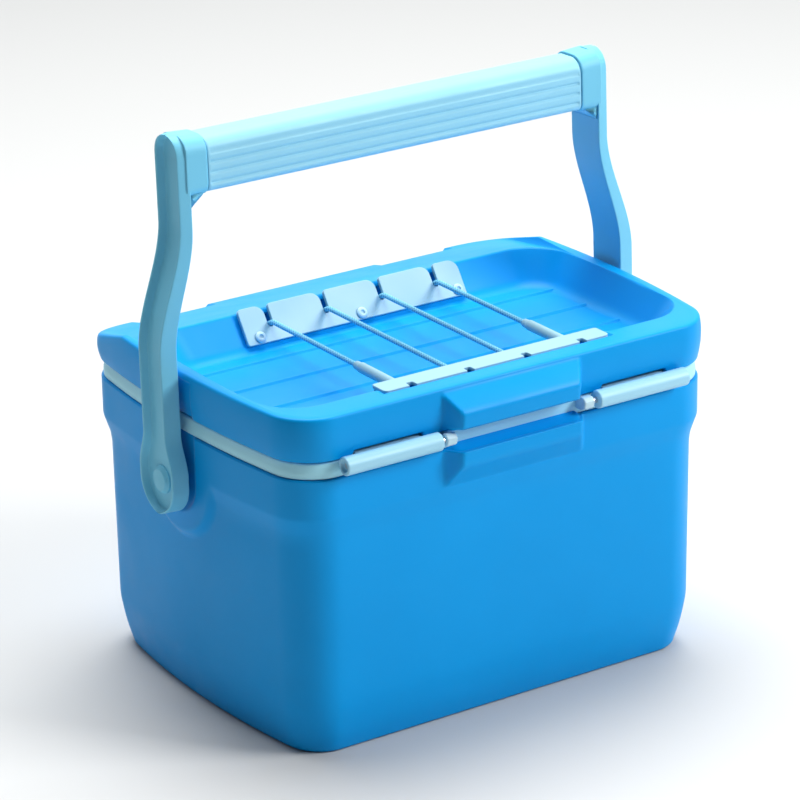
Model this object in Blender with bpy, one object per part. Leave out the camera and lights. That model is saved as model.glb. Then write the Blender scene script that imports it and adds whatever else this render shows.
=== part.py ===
"""Hard-sided lunch cooler: insulated chest, tray lid with a laced elastic cord, folding carry handle.

Frame: metres, +Z up, +X to the right and +Y to the back as seen from the front.
The origin is the middle of the footprint, on the floor.
"""

import math

import bmesh
import bpy
from mathutils import Matrix, Vector

MM = 0.001

# Driving dimensions, in millimetres.
GAP = 0.3                    # clearance between neighbouring pieces
CROWN = 9.7                  # how far a side face bows out over half its depth
CORNER = 25.0                # plan corner radius of the chest
SKIN = 3.0                   # moulded wall of the chest shell
BAND_X = 149.0               # half width of the proud band under the lid
BAND_Y = 114.6               # half depth of the same band
BAND_LOW = 145.0             # lower edge of the band
SHELL_TOP = 167.7            # top of the blue chest shell
COLLAR_TOP = 177.4           # top of the pale rim collar
LID_LOW = 178.2              # lower edge of the lid's skirt
LID_TOP = 204.0              # flat top of the lid's rim
LID_X = 150.6
LID_Y = 115.4
LID_SKIN = 2.6
SLOPE_START = 62.0           # where the lid's top starts to fall to the back
SLOPE = 0.285                # fall of that part, per unit of depth
TRAY_FLOOR = 184.0
TUB_X = 124.0                # half width of the compartment at its mouth
TUB_Y = 90.0
TUB_FLOOR = 22.0
TUB_DRAFT = 8.0              # how much narrower the compartment is at its floor
TUB_SKIN = 2.6
PIVOT_Y = 2.0                # handle pivot
PIVOT_Z = 139.0
PIVOT = (0.0, PIVOT_Y, PIVOT_Z)
PIVOT_BORE = 4.3             # bore radius of pads, washers and arms
ARM_LOW_X = 152.0            # inner face of the arm beside the chest
ARM_HIGH_X = 137.8           # inner face of the arm beside the grip
ARM_LOW_THICK = 10.0
ARM_HIGH_THICK = 7.2
CHANNEL = 4.4                # depth of the channel along the arm's outer face
HANDLE_LEAN = 1.6            # degrees that the standing handle leans back
BEND_LOW = 215.0             # heights between which the arm steps inwards
BEND_HIGH = 284.0
GRIP_RISE = 179.0            # from the pivot to the middle of the grip
GRIP_HALF = 126.0            # half length of the ribbed sleeve
BARREL_R = 5.3               # latch and hinge barrels
BARREL_Y = 119.2
BARREL_Z = 176.0
BARREL_IN = 53.0             # inner and outer ends of a barrel
BARREL_OUT = 115.5
BARREL_BORE = 2.1
PLATE_HALF = 76.0            # half width of the two cord plates
CORD_R = 1.5
SLOTS = (-57.5, -19.2, 19.2, 57.5)   # where the cord's four runs cross the plates
SCREWS = (-67.0, 2.5, 70.5)
SCREW_UP = 4.6               # height of the screws up the plates
PLATE_LONG = 22.5            # length of the rear plate up the slope
PLATE_THICK = 2.4
SLOT_FOOT = 9.5              # how far up the rear plate its slots end
CORD_HOLE = 11.6             # how far up both plates the cord comes out
FLANGE_LEVEL = 204.6         # top of the front plate's flange, which lies in the rim
FLANGE_THICK = 2.2
FLANGE_FRONT = -101.0        # front and back edges of the flange
FLANGE_BACK = -87.2
NOTCH_Y = -98.6              # notches in the flange, one over each run of the cord
PLUG_X = TUB_X - 2.6         # the lid's plug, which fills the compartment's mouth
PLUG_Y = TUB_Y - 2.6
PLUG_LOW = 163.0
SEAT_LOW = 178.4             # underside and top of the plug's flange
SEAT_TOP = 180.4
PAD_RADIUS = 31.5            # pivot pad on the chest's side
PAD_TOP = 150.0
TUB_CORNER = 20.0
RIBS = (-73.5, -41.0, -8.5, 24.0)    # ribs across the tray's floor
RIB_HIGH = 1.1
SOCKET = (15.6, 18.6, 4.0)   # width, height and corner of the hole for the grip's core

BLUE = (0.0, 0.33, 0.85)
PALE = (0.36, 0.76, 0.90)
GREY = (0.62, 0.66, 0.80)
WHITE = (0.86, 0.90, 0.93)
FOAM = (0.90, 0.88, 0.78)
RUBBER = (0.45, 0.48, 0.55)
STEEL = (0.75, 0.76, 0.78)


def clear_scene():
    for thing in list(bpy.data.objects):
        bpy.data.objects.remove(thing, do_unlink=True)


def principled(name, colour, roughness, metallic):
    """One Principled material for one piece."""
    material = bpy.data.materials.new(name + "_material")
    material.use_nodes = True
    shader = material.node_tree.nodes["Principled BSDF"]
    shader.inputs["Base Color"].default_value = (*colour, 1.0)
    shader.inputs["Roughness"].default_value = roughness
    shader.inputs["Metallic"].default_value = metallic
    return material


def add_object(name, bm, colour, roughness=0.4, metallic=0.0, origin=(0.0, 0.0, 0.0)):
    """Turn a bmesh in millimetres, drawn about origin, into a placed object."""
    bmesh.ops.recalc_face_normals(bm, faces=bm.faces)
    bm.transform(Matrix.Scale(MM, 4))
    mesh = bpy.data.meshes.new(name)
    bm.to_mesh(mesh)
    bm.free()
    thing = bpy.data.objects.new(name, mesh)
    thing.location = Vector(origin) * MM
    mesh.materials.append(principled(name, colour, roughness, metallic))
    bpy.context.scene.collection.objects.link(thing)
    return thing


def smooth(thing, degrees=35.0):
    thing.data.shade_smooth()
    thing.data.set_sharp_from_angle(angle=math.radians(degrees))


def as_tool(thing):
    """Mark an object as a boolean operand that isn't part of the model."""
    thing.hide_render = True
    thing.display_type = "WIRE"
    return thing


def boolean(thing, tool, operation):
    modifier = thing.modifiers.new(operation.title(), "BOOLEAN")
    modifier.operation = operation
    modifier.object = tool
    modifier.solver = "EXACT"
    return modifier


def outline(half_x, half_y, corner, crown=CROWN):
    """Plan outline, anticlockwise: bowed sides, straight front and back, round corners."""
    side = [(half_x, (half_y - corner) * k / 3) for k in range(3)]
    arc = []
    for k in range(7):
        angle = math.radians(15 * k)
        arc.append((half_x - corner + corner * math.cos(angle), half_y - corner + corner * math.sin(angle)))
    back = [((half_x - corner) * k / 3, half_y) for k in (2, 1, 0)]
    quarter = []
    for x, y in side + arc + back:
        quarter.append((x - crown * (y / half_y) ** 2 * (x / half_x), y))
    half = quarter + [(-x, y) for x, y in reversed(quarter[:-1])]
    return half + [(x, -y) for x, y in reversed(half[1:-1])]


def lid_height(y):
    """Height of the lid's top at depth y."""
    return LID_TOP - SLOPE * max(0.0, y - SLOPE_START)


def ring(half_x, half_y, corner, z, crown=CROWN):
    return [(x, y, z) for x, y in outline(half_x, half_y, corner, crown)]


def loft(rings, cap_first=True, cap_last=True):
    """Skin a list of point rings with quads."""
    bm = bmesh.new()
    rows = [[bm.verts.new(point) for point in points] for points in rings]
    for low, high in zip(rows, rows[1:]):
        for k in range(len(low)):
            following = (k + 1) % len(low)
            bm.faces.new((low[k], low[following], high[following], high[k]))
    if cap_first:
        bm.faces.new(list(reversed(rows[0])))
    if cap_last:
        bm.faces.new(rows[-1])
    return bm


def box(low, high):
    bm = bmesh.new()
    bmesh.ops.create_cube(bm, size=1.0)
    for vertex in bm.verts:
        for axis in range(3):
            vertex.co[axis] = low[axis] if vertex.co[axis] < 0 else high[axis]
    return bm


def circle(at, radius, axis, centre, sides):
    """Ring of points about x, y or z (axis 0, 1 or 2), at a distance along it."""
    points = []
    for k in range(sides):
        angle = 2 * math.pi * k / sides
        point = list(centre)
        point[axis] += at
        point[(axis + 1) % 3] += radius * math.cos(angle)
        point[(axis + 2) % 3] += radius * math.sin(angle)
        points.append(tuple(point))
    return points


def turned(profile, axis, centre=(0.0, 0.0, 0.0), sides=24):
    """Solid of revolution; profile is a list of (along, radius)."""
    return loft([circle(at, radius, axis, centre, sides) for at, radius in profile])


def rod(radius, first, last, axis, centre=(0.0, 0.0, 0.0), sides=24):
    return turned(((first, radius), (last, radius)), axis, centre, sides)


def tube(outer, inner, first, last, axis, centre=(0.0, 0.0, 0.0), sides=24):
    """Straight tube: the skin runs up the outside and back down the bore."""
    profile = ((first, outer), (last, outer), (last, inner), (first, inner))
    return closed_rings([circle(at, radius, axis, centre, sides) for at, radius in profile])


def closed_rings(rings):
    """Skin rings and join the last ring back to the first, as in a hoop."""
    bm = bmesh.new()
    rows = [[bm.verts.new(point) for point in points] for points in rings]
    for index in range(len(rows)):
        low = rows[index]
        high = rows[(index + 1) % len(rows)]
        for k in range(len(low)):
            following = (k + 1) % len(low)
            bm.faces.new((low[k], low[following], high[following], high[k]))
    return bm


def prism(points, axis, first, last):
    """Extrude a polygon, given in the two other axes in order, along axis."""
    rings = []
    others = [(axis + 1) % 3, (axis + 2) % 3]
    for at in (first, last):
        row = []
        for u, v in points:
            point = [0.0, 0.0, 0.0]
            point[axis] = at
            point[others[0]] = u
            point[others[1]] = v
            row.append(tuple(point))
        rings.append(row)
    return loft(rings)


# ---------------------------------------------------------------- chest

# Outer profile of the chest shell: height, half width, half depth, corner radius.
SHELL_LEVELS = (
    (0.0, 138.6, 103.0, 19.0),
    (1.6, 140.2, 104.6, 20.0),
    (14.0, 142.6, 107.4, 22.0),
    (30.0, 144.8, 110.0, 23.0),
    (128.0, 145.6, 111.5, CORNER),
    (134.0, 146.5, 112.3, CORNER),
    (BAND_LOW, BAND_X, BAND_Y, CORNER),
    (SHELL_TOP, BAND_X, BAND_Y, CORNER),
)


def shell_rings(inset, low, high):
    """Rings that follow the chest's outer profile, moved in by inset, from low to high."""
    rings = [None]
    first = None
    for z, half_x, half_y, corner in SHELL_LEVELS:
        level = ring(half_x - inset, half_y - inset, corner - inset, z)
        if z <= low:
            first = level
        elif z < high:
            rings.append(level)
        last = level
    rings[0] = [(x, y, low) for x, y, _ in first]
    rings.append([(x, y, high) for x, y, _ in last])
    return rings


def body_shell():
    outside = shell_rings(0.0, 0.0, SHELL_TOP)
    inside = shell_rings(SKIN, SKIN, SHELL_TOP)
    shell = add_object("body_shell", loft(outside + inside[::-1]), BLUE, 0.35)
    for side in (-1, 1):
        pad = add_object("pad_tool", pivot_pad(side, PAD_RADIUS + 5.0, PAD_RADIUS, 143.4, BAND_X), BLUE)
        boolean(shell, as_tool(pad), "UNION")
        bore = add_object("bore_tool", rod(PIVOT_BORE, side * 130.0, side * 160.0, 0, PIVOT), BLUE)
        boolean(shell, as_tool(bore), "DIFFERENCE")
    lip = add_object("body_lip_tool", finger_lip(167.2, 159.5, 145.5, BAND_Y - 1.5, 124.0), BLUE)
    boolean(shell, as_tool(lip), "UNION")
    smooth(shell)


def pivot_pad(side, radius_in, radius_out, near, far):
    """Rounded tongue that hangs below the band and carries the handle's pivot."""
    sections = []
    for half_x, radius in ((near, radius_in), (far, radius_out)):
        section = [(PIVOT_Y - radius, PAD_TOP)]
        for k in range(13):
            angle = math.pi * (1 + k / 12)
            section.append((PIVOT_Y + radius * math.cos(angle), PIVOT_Z + radius * math.sin(angle)))
        section.append((PIVOT_Y + radius, PAD_TOP))
        sections.append([(side * (half_x - CROWN * (y / BAND_Y) ** 2), y, z) for y, z in section])
    return loft(sections)


def finger_lip(flat_z, nose_z, root_z, wall_y, nose_y):
    """Wedge on the front: a flat ledge, a short nose and a face that slopes back to the wall."""
    root_half = 47.0
    nose_half = 40.5
    corners = []
    for half, y, z in ((root_half, wall_y, flat_z), (nose_half, nose_y, flat_z),
                       (nose_half, nose_y, nose_z), (root_half, wall_y, root_z)):
        corners.append([(-half, -y, z), (half, -y, z)])
    left = [pair[0] for pair in corners]
    right = [pair[1] for pair in corners]
    return loft([left, right])


def body_insulation():
    outside = shell_rings(SKIN + GAP, SKIN + GAP, SHELL_TOP - GAP)
    draft = TUB_SKIN + GAP
    inside = []
    for z, inset in ((SHELL_TOP - GAP, 0.0), (TUB_FLOOR - TUB_SKIN - GAP, TUB_DRAFT)):
        inside.append(ring(TUB_X + draft - inset, TUB_Y + draft - inset, TUB_CORNER + draft, z, 0.0))
    foam = add_object("body_insulation", loft(outside + inside), FOAM, 0.9)
    for side in (-1, 1):
        bore = add_object("foam_bore_tool", rod(6.2, side * 128.0, side * 150.0, 0, PIVOT), FOAM)
        boolean(foam, as_tool(bore), "DIFFERENCE")
        recess = pivot_pad(side, PAD_RADIUS + 6.0, PAD_RADIUS + 6.0, 142.9, BAND_X + 7.0)
        boolean(foam, as_tool(add_object("foam_pad_tool", recess, FOAM)), "DIFFERENCE")
    smooth(foam)


def inner_liner():
    """White tub whose turned-out rim is the pale collar seen between lid and chest."""
    low = SHELL_TOP + GAP
    rings = [
        ring(TUB_X + TUB_SKIN - TUB_DRAFT, TUB_Y + TUB_SKIN - TUB_DRAFT, TUB_CORNER + TUB_SKIN,
             TUB_FLOOR - TUB_SKIN, 0.0),
        ring(TUB_X + TUB_SKIN, TUB_Y + TUB_SKIN, TUB_CORNER + TUB_SKIN, low, 0.0),
        ring(BAND_X - 1.4, BAND_Y - 1.4, CORNER - 1.4, low),
        ring(BAND_X - 1.4, BAND_Y - 1.4, CORNER - 1.4, COLLAR_TOP),
        ring(TUB_X, TUB_Y, TUB_CORNER, COLLAR_TOP, 0.0),
        ring(TUB_X - TUB_DRAFT, TUB_Y - TUB_DRAFT, TUB_CORNER, TUB_FLOOR, 0.0),
    ]
    liner = add_object("inner_liner", loft(rings), GREY, 0.45)
    for front in (-1, 1):
        for side in (-1, 1):
            add_barrel_seat(liner, side, front)
    smooth(liner)


def add_barrel_seat(liner, side, front):
    """Lug on the collar that holds the inner end of a barrel's pin."""
    points = [(front * 112.0, 169.0), (front * 121.5, 170.0), (front * 123.0, 173.5),
              (front * 123.0, 178.5), (front * 120.5, 181.0), (front * 117.6, 181.0),
              (front * 115.8, 177.2), (front * 112.0, 177.2)]
    lug = add_object("lug_tool", prism(points, 0, side * (BARREL_IN - 5.0), side * (BARREL_IN - GAP)), GREY)
    boolean(liner, as_tool(lug), "UNION")
    hole = rod(BARREL_BORE, side * (BARREL_IN - 4.0), side * BARREL_OUT, 0, (0.0, front * BARREL_Y, BARREL_Z))
    boolean(liner, as_tool(add_object("pin_hole_tool", hole, GREY)), "DIFFERENCE")


# ---------------------------------------------------------------- lid

def lid_ring(inset, corner, share, drop=0.0):
    """Ring of the lid's outer skin; share 0 is the skirt's edge and 1 the top surface."""
    points = []
    for x, y in outline(LID_X - inset, LID_Y - inset, corner):
        top = lid_height(y)
        points.append((x, y, LID_LOW + (top - LID_LOW) * share - drop))
    return points


def tray_ring(half_x, front, back, corner, z):
    """Ring of the tray, whose middle lies forward of the lid's."""
    middle = (front + back) / 2
    points = outline(half_x, (back - front) / 2, corner, 3.0)
    return [(x, y + middle, z) for x, y in points]


def lid_shell():
    rings = [
        lid_ring(1.5, CORNER - 1, 0.0),
        lid_ring(0.2, CORNER, 0.35),
        lid_ring(0.0, CORNER, 0.7),
        lid_ring(0.7, CORNER, 0.93),
        lid_ring(2.6, CORNER - 2, 1.0),
        tray_ring(141.5, -94.0, 54.0, 26.0, LID_TOP - 0.6),
        tray_ring(139.5, -92.0, 51.5, 25.0, LID_TOP - 3.0),
        tray_ring(131.0, -82.5, 41.0, 19.0, TRAY_FLOOR + 1.8),
        tray_ring(128.5, -80.5, 38.5, 17.0, TRAY_FLOOR),
    ]
    lid = add_object("lid_shell", loft(rings, cap_first=False), BLUE, 0.35)
    skin = lid.modifiers.new("Skin", "SOLIDIFY")
    skin.thickness = LID_SKIN * MM
    skin.offset = -1.0
    skin.use_even_offset = True
    lip = add_object("lid_lip_tool", finger_lip(182.6, 191.0, 203.4, LID_Y - 1.7, 126.0), BLUE)
    boolean(lid, as_tool(lip), "UNION")
    add_tray_ribs(lid)
    for front in (-1, 1):
        for side in (-1, 1):
            cove = add_object("cove_tool", rod(BARREL_R + 0.5, side * (BARREL_IN - 5.4),
                                               side * (BARREL_OUT + 4.4), 0,
                                               (0.0, front * BARREL_Y, BARREL_Z)), BLUE)
            boolean(lid, as_tool(cove), "DIFFERENCE")
            notch = box((side * 85.0 - 26.0, 109.0, 170.0), (side * 85.0 + 26.0, 125.0, 186.0))
            if front < 0:
                notch = box((side * 83.0 - 23.0, -118.0, 175.0), (side * 83.0 + 23.0, -108.0, 181.4))
            boolean(lid, as_tool(add_object("notch_tool", notch, BLUE)), "DIFFERENCE")
    pockets = ((1, SLOTS[0], SLOTS[1]), (1, SLOTS[2], SLOTS[3]), (-1, SLOTS[0], SLOTS[0]),
               (-1, SLOTS[1], SLOTS[2]), (-1, SLOTS[3], SLOTS[3]))
    for front, first, last in pockets:
        window = add_object("window_tool", cord_window(front, first - 4.0, last + 4.0), BLUE)
        boolean(lid, as_tool(window), "DIFFERENCE")
    recess = box((-PLATE_HALF - 0.5, FLANGE_FRONT - 0.5, FLANGE_LEVEL - FLANGE_THICK - GAP),
                 (PLATE_HALF + 0.5, -90.0, FLANGE_LEVEL + 5.0))
    boolean(lid, as_tool(add_object("flange_recess_tool", recess, BLUE)), "DIFFERENCE")
    for x in SLOTS:
        trough = box((x - 2.5, NOTCH_Y - 2.1, 199.0), (x + 2.5, NOTCH_Y + 2.1, LID_TOP + 3.0))
        boolean(lid, as_tool(add_object("trough_tool", trough, BLUE)), "DIFFERENCE")
    for front in (-1, 1):
        for x in SCREWS:
            hole = screw_solid(front, x, ((-9.0, 1.6), (2.0, 1.6)))
            boolean(lid, as_tool(add_object("screw_hole_tool", hole, BLUE)), "DIFFERENCE")
    smooth(lid)


def add_tray_ribs(lid):
    """Low ribs across the tray's floor."""
    for y in RIBS:
        shape = [(y - 2.6, TRAY_FLOOR - 1.0), (y + 2.6, TRAY_FLOOR - 1.0),
                 (y + 1.2, TRAY_FLOOR + RIB_HIGH), (y - 1.2, TRAY_FLOOR + RIB_HIGH)]
        rib = add_object("rib_tool", prism(shape, 0, -126.5, 126.5), BLUE)
        boolean(lid, as_tool(rib), "UNION")


# The two cord plates lie on the tray's sloped end walls.
# A plate's own frame: along x, up the slope, and out of the wall.


def wall_frame(front):
    """Foot of an end wall, its uphill direction and its outward normal, in the y-z plane."""
    foot = Vector((41.0, TRAY_FLOOR + 2.2)) if front > 0 else Vector((-82.5, TRAY_FLOOR + 2.2))
    rise = LID_TOP - 3.0 - (TRAY_FLOOR + 1.8)
    uphill = Vector((10.5 if front > 0 else -9.5, rise)).normalized()
    normal = Vector((-uphill.y, uphill.x)) if front > 0 else Vector((uphill.y, -uphill.x))
    return foot, uphill, normal


def on_wall(front, up, out):
    foot, uphill, normal = wall_frame(front)
    point = foot + uphill * up + normal * out
    return point.x, point.y


def screw_solid(front, x, profile):
    """Turned solid about the wall's normal; profile is a list of (out, radius)."""
    _, uphill, normal = wall_frame(front)
    sides = 16
    rings = []
    for out, radius in profile:
        y, z = on_wall(front, SCREW_UP, out)
        points = []
        for k in range(sides):
            angle = 2 * math.pi * k / sides
            points.append((x + radius * math.cos(angle), y + uphill.x * radius * math.sin(angle),
                           z + uphill.y * radius * math.sin(angle)))
        rings.append(points)
    return loft(rings)


def cord_window(front, first, last):
    """Pocket in the end wall where the cord passes behind a plate."""
    corners = [on_wall(front, 7.5, -9.0), on_wall(front, 7.5, 0.15),
               on_wall(front, 17.2, 0.15), on_wall(front, 17.2, -9.0)]
    return prism(corners, 0, first, last)


def rear_cord_plate():
    """Plate on the tray's rear wall, with a slot from its top edge for each run of the cord."""
    bottom = 0.8
    top = bottom + PLATE_LONG
    face = GAP + PLATE_THICK
    sheet = [on_wall(1, bottom, GAP), on_wall(1, bottom, face), on_wall(1, top - 2.0, face),
             on_wall(1, top, face - 0.8), on_wall(1, top, GAP)]
    plate = add_object("rear_cord_plate", prism(sheet, 0, -PLATE_HALF, PLATE_HALF), PALE, 0.4)
    for x in SLOTS:
        slot = [on_wall(1, SLOT_FOOT, -3.0), on_wall(1, SLOT_FOOT, 8.0), on_wall(1, 30.0, 8.0),
                on_wall(1, 30.0, -3.0)]
        tool = add_object("slot_tool", prism(slot, 0, x - 2.0, x + 2.0), PALE)
        boolean(plate, as_tool(tool), "DIFFERENCE")
    finish_plate(plate, 1)


def front_cord_plate():
    """Plate on the tray's front wall, holed for the cord; its notched flange lies in the rim."""
    face = GAP + PLATE_THICK
    low = FLANGE_LEVEL - FLANGE_THICK
    sheet = [on_wall(-1, 0.8, GAP), on_wall(-1, 0.8, face), on_wall(-1, 16.6, face),
             (FLANGE_BACK, low), (FLANGE_BACK, FLANGE_LEVEL - 0.7), (FLANGE_BACK - 0.8, FLANGE_LEVEL),
             (FLANGE_FRONT + 0.8, FLANGE_LEVEL), (FLANGE_FRONT, FLANGE_LEVEL - 0.7),
             (FLANGE_FRONT, low), (-93.2, low), on_wall(-1, 17.6, GAP)]
    plate = add_object("front_cord_plate", prism(sheet, 0, -PLATE_HALF, PLATE_HALF), PALE, 0.4)
    for x in SLOTS:
        notch = box((x - 2.2, FLANGE_FRONT - 1.0, low - 1.0), (x + 2.2, NOTCH_Y + 1.9, FLANGE_LEVEL + 1.0))
        boolean(plate, as_tool(add_object("notch_tool", notch, PALE)), "DIFFERENCE")
        hole = [on_wall(-1, CORD_HOLE - 2.2, -3.0), on_wall(-1, CORD_HOLE - 2.2, 8.0),
                on_wall(-1, CORD_HOLE + 2.2, 8.0), on_wall(-1, CORD_HOLE + 2.2, -3.0)]
        tool = add_object("cord_hole_tool", prism(hole, 0, x - 2.2, x + 2.2), PALE)
        boolean(plate, as_tool(tool), "DIFFERENCE")
    finish_plate(plate, -1)


def finish_plate(plate, front):
    for x in SCREWS:
        hole = screw_solid(front, x, ((-2.0, 1.6), (6.0, 1.6)))
        boolean(plate, as_tool(add_object("plate_hole_tool", hole, PALE)), "DIFFERENCE")
    smooth(plate)


def plate_screws():
    head = GAP + PLATE_THICK + GAP
    for label, front in (("rear", 1), ("front", -1)):
        for number, x in enumerate(SCREWS, 1):
            profile = ((-6.5, 0.6), (-5.0, 1.25), (head, 1.25), (head, 3.4), (head + 0.9, 3.0),
                       (head + 1.4, 1.8))
            screw = add_object(f"{label}_plate_screw_{number}", screw_solid(front, x, profile), STEEL,
                               0.3, 1.0)
            smooth(screw)


def lid_liner():
    """Inner plate of the lid: a flange at the seam and a shallow pan that plugs the tub."""
    sheet = 2.0
    rings = [
        ring(PLUG_X - 1.5, PLUG_Y - 1.5, 17.0, PLUG_LOW, 0.0),
        ring(PLUG_X - 0.6, PLUG_Y - 0.6, 18.0, 167.2, 0.0),
        ring(PLUG_X - 2.4, PLUG_Y - 2.4, 16.5, 167.8, 0.0),
        ring(PLUG_X - 2.4, PLUG_Y - 2.4, 16.5, 171.2, 0.0),
        ring(PLUG_X - 0.4, PLUG_Y - 0.4, 18.0, 171.8, 0.0),
        ring(PLUG_X, PLUG_Y, 18.0, SEAT_LOW, 0.0),
        ring(LID_X - 5.6, LID_Y - 9.4, CORNER - 5.0, SEAT_LOW),
        ring(LID_X - 5.6, LID_Y - 9.4, CORNER - 5.0, SEAT_TOP),
        ring(PLUG_X - 5.0, PLUG_Y - 5.0, 14.0, SEAT_TOP, 0.0),
        ring(PLUG_X - 5.5, PLUG_Y - 5.5, 14.0, PLUG_LOW + sheet, 0.0),
    ]
    liner = add_object("lid_liner", loft(rings), WHITE, 0.45)
    smooth(liner)


def lid_gasket():
    """Wiper seal in the groove round the lid's plug."""
    inner = 2.4 - GAP
    rings = [
        ring(PLUG_X - inner, PLUG_Y - inner, 16.8, 168.4, 0.0),
        ring(PLUG_X + 0.9, PLUG_Y + 0.9, 18.9, 168.9, 0.0),
        ring(PLUG_X + 0.9, PLUG_Y + 0.9, 18.9, 170.1, 0.0),
        ring(PLUG_X - inner, PLUG_Y - inner, 16.8, 170.6, 0.0),
    ]
    gasket = add_object("lid_gasket", closed_rings(rings), RUBBER, 0.7)
    smooth(gasket)


def lid_insulation():
    inset = 5.5 + GAP
    low = PLUG_LOW + 2.0 + GAP
    high = TRAY_FLOOR - LID_SKIN - GAP
    rings = [
        ring(PLUG_X - inset, PLUG_Y - inset, 14.0, low, 0.0),
        ring(PLUG_X - inset, PLUG_Y - inset, 14.0, SEAT_TOP + GAP, 0.0),
        [(x, y - 21.0, high) for x, y in outline(PLUG_X - inset - 3.0, 57.5, 12.0, 0.0)],
    ]
    foam = add_object("lid_insulation", loft(rings), FOAM, 0.9)
    smooth(foam)


# ---------------------------------------------------------------- latches and hinges

def barrel(name, side, front):
    """Barrel on its pin; its leaf reaches up behind the lid's skirt."""
    centre = (0.0, front * BARREL_Y, BARREL_Z)
    ends = sorted((side * BARREL_IN, side * BARREL_OUT))
    return add_object(name, tube(BARREL_R, BARREL_BORE, ends[0], ends[1], 0), PALE, 0.4, 0.0, centre)


def latches():
    for label, side in (("left", -1), ("right", 1)):
        latch = barrel("latch_" + label, side, -1)
        # Claw that reaches through the skirt's notch, over the collar.
        shape = [(4.2, 2.0), (9.4, 2.0), (9.4, 3.3), (3.6, 3.3)]
        claw = add_object("claw_tool", prism(shape, 0, side * 62.0, side * 104.0), PALE)
        claw.location = latch.location
        boolean(latch, as_tool(claw), "UNION")
        smooth(latch)


def hinges():
    for label, side in (("left", -1), ("right", 1)):
        hinge = barrel("hinge_" + label, side, 1)
        near, far = sorted((side * 60.0, side * 110.0))
        shape = [(-0.5, 3.2), (-0.5, 9.4), (-9.6, 9.4), (-9.6, 6.8), (-5.2, 6.8), (-4.4, 3.2)]
        leaf = add_object("leaf_tool", prism(shape, 0, near, far), PALE)
        leaf.location = hinge.location
        boolean(hinge, as_tool(leaf), "UNION")
        smooth(hinge)


def barrel_pins():
    for kind, front in (("latch", -1), ("hinge", 1)):
        for label, side in (("left", -1), ("right", 1)):
            ends = sorted((side * (BARREL_IN - 3.6), side * (BARREL_OUT - 2.0)))
            pin = add_object(f"{kind}_pin_{label}", rod(1.75, ends[0], ends[1], 0,
                                                        (0.0, front * BARREL_Y, BARREL_Z), 16),
                             STEEL, 0.3, 1.0)
            smooth(pin)


# ---------------------------------------------------------------- handle

def arm_face(z):
    """Half width, from the middle plane, of the arm's inner face at height z."""
    share = min(1.0, max(0.0, (z - BEND_LOW) / (BEND_HIGH - BEND_LOW)))
    eased = share * share * (3 - 2 * share)
    return ARM_LOW_X + (ARM_HIGH_X - ARM_LOW_X) * eased


def arm_thickness(z):
    share = min(1.0, max(0.0, (z - BEND_LOW) / (BEND_HIGH - BEND_LOW)))
    return ARM_LOW_THICK + (ARM_HIGH_THICK - ARM_LOW_THICK) * share


ARM_LEVELS = (PIVOT_Z, 180.0, 213.0, 221.0, 230.0, 239.0, 248.0, 257.0, 266.0, 275.0, 286.0, 328.0, 336.0)


def arm_sections(side, depth=None):
    """Sections of the arm, or of the channel along its outer face when a depth is given."""
    sections = []
    levels = ARM_LEVELS if depth is None else ARM_LEVELS[:-2] + (324.0, 330.0)
    for z in levels:
        inner = arm_face(z)
        outer = inner + arm_thickness(z)
        narrow = 0.0
        if z > 329.0:
            narrow = 4.0
        if depth is None:
            section = [(inner, -13.0 + narrow), (inner + 1.0, -13.6 + narrow), (outer - 1.2, -10.9 + narrow),
                       (outer, -9.6 + narrow), (outer, 9.6 - narrow), (outer - 1.2, 10.9 - narrow),
                       (inner + 1.0, 13.6 - narrow), (inner, 13.0 - narrow)]
        else:
            section = [(outer - depth, -5.2 + narrow), (outer + 4.0, -7.4 + narrow),
                       (outer + 4.0, 7.4 - narrow), (outer - depth, 5.2 - narrow)]
        sections.append([(side * x, y, z - PIVOT_Z) for x, y in section])
    return sections


def lean_back(thing):
    """Put a piece of the handle on the pivot, leaning a little to the back."""
    thing.location = Vector((0.0, PIVOT_Y, PIVOT_Z)) * MM
    thing.rotation_euler.x = -math.radians(HANDLE_LEAN)


def handle_arm(label, side):
    arm = add_object("handle_arm_" + label, loft(arm_sections(side)), PALE, 0.4, 0.0, PIVOT)
    outer = ARM_LOW_X + ARM_LOW_THICK
    eye = turned([(side * (ARM_LOW_X + 0.001), 17.5), (side * (ARM_LOW_X + 1.5), 19.5),
                  (side * (outer - 1.5), 19.5), (side * outer, 18.0)], 0, sides=32)
    block = prism(grip_section(29.0, 35.0, 9.0), 0, side * (GRIP_HALF + GAP),
                  side * (ARM_HIGH_X + ARM_HIGH_THICK - 1.0))
    channel = loft(arm_sections(side, CHANNEL))
    ring_cut = turned([(side * (outer - CHANNEL), 14.5), (side * (outer + 2.0), 15.5)], 0, sides=32)
    bore = rod(PIVOT_BORE, side * (ARM_LOW_X - 5.0), side * (outer + 5.0), 0)
    socket = prism(grip_section(*SOCKET), 0, side * (GRIP_HALF - 5.0), side * (ARM_HIGH_X + 2.0))
    tools = (
        (add_object("eye_tool", eye, PALE), "UNION"),
        (add_object("boss_tool", block, PALE), "UNION"),
        (add_object("channel_tool", channel, PALE), "DIFFERENCE"),
        (add_object("ring_cut_tool", ring_cut, PALE), "DIFFERENCE"),
        (add_object("arm_bore_tool", bore, PALE), "DIFFERENCE"),
        (add_object("socket_tool", socket, PALE), "DIFFERENCE"),
    )
    for tool, operation in tools:
        lean_back(tool)
        boolean(arm, as_tool(tool), operation)
    lean_back(arm)
    smooth(arm)


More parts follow.
